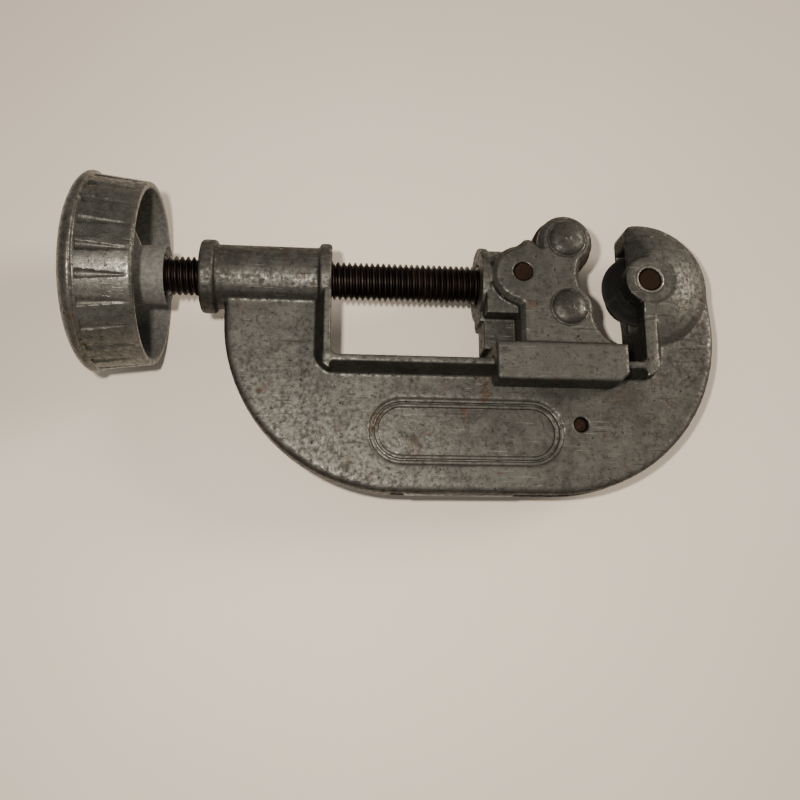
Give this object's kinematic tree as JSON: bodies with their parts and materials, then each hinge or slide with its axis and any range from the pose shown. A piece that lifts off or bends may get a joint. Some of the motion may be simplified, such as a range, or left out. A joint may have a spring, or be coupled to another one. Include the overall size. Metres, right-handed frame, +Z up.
{
  "type": "tubing cutter",
  "caption": "Screw-feed tubing cutter: C-frame with threaded barrel, ribbed cup knob, roller carriage on a rail, cutter wheel in a hooked head and a fold-in reamer.",
  "frame": {"origin": "centre of the bounding box at the floor, with the tool lying on its side as it rests on a bench", "axes": "+X from the knob to the cutter wheel, in the floor plane; +Y from the frame's spine to the jaws; +Z up. The feed screw slopes 5.5 degrees down towards the wheel, because the knob is wider than the frame"},
  "size_m": [0.158, 0.0776, 0.0485],
  "materials": {
    "cast_frame": "worn grey die casting with grime, scratches and brown stains",
    "cast_carriage": "worn grey die casting",
    "cast_knob": "worn grey die casting, bright on its lands",
    "screw_steel": "black oxide with brown rust on the crests",
    "wheel_steel": "black oxide, satin",
    "roller_steel": "dark oxidised steel",
    "pin_steel": "brown rust on a sheared end",
    "rivet_steel": "dull plated steel",
    "blade_steel": "ground steel, slightly stained",
    "spring_steel": "plain spring steel"
  },
  "bodies": {
    "frame": {"frame": "cast_frame", "wheel_pin": "pin_steel", "reamer_pin": "pin_steel", "reamer_washer": "spring_steel"},
    "carriage": {"carriage": "cast_carriage", "thrust_pin": "pin_steel", "upper_roller_rivet": "rivet_steel", "lower_roller_rivet": "rivet_steel"},
    "screw": {"feed_screw": "screw_steel", "screw_clip": "spring_steel", "knob": "cast_knob"},
    "cutter_wheel": {"cutter_wheel": "wheel_steel"},
    "upper_roller": {"upper_roller": "roller_steel"},
    "lower_roller": {"lower_roller": "roller_steel"},
    "reamer": {"reamer_blade": "blade_steel"}
  },
  "joints": [
    {"name": "carriage_slide", "type": "slide", "parent": "frame", "child": "carriage", "axis": [0.9954, 0, -0.0959], "range_m": [-0.0353, 0.0043]},
    {"name": "knob_turn", "type": "hinge", "parent": "carriage", "child": "screw", "pos_m": [-0.01697, 0.01455, 0.0188], "axis": [0.9954, 0, -0.0959], "range_deg": [-9000, 1080]},
    {"name": "wheel_spin", "type": "hinge", "parent": "frame", "child": "cutter_wheel", "pos_m": [0.06136, 0.01455, 0.01124], "axis": [0.0959, 0, 0.9954], "continuous": true},
    {"name": "upper_roller_spin", "type": "hinge", "parent": "carriage", "child": "upper_roller", "pos_m": [0.04006, 0.02335, 0.0133], "axis": [0.0959, 0, 0.9954], "continuous": true},
    {"name": "lower_roller_spin", "type": "hinge", "parent": "carriage", "child": "lower_roller", "pos_m": [0.04006, 0.00575, 0.0133], "axis": [0.0959, 0, 0.9954], "continuous": true},
    {"name": "reamer_fold", "type": "hinge", "parent": "frame", "child": "reamer", "pos_m": [0.04345, -0.02175, 0.01297], "axis": [0.0959, 0, 0.9954], "range_deg": [0, 120]}
  ],
  "couplings": [
    {"joint": "carriage_slide", "follows": "knob_turn", "m_per_rad": 0.00022459}
  ]
}
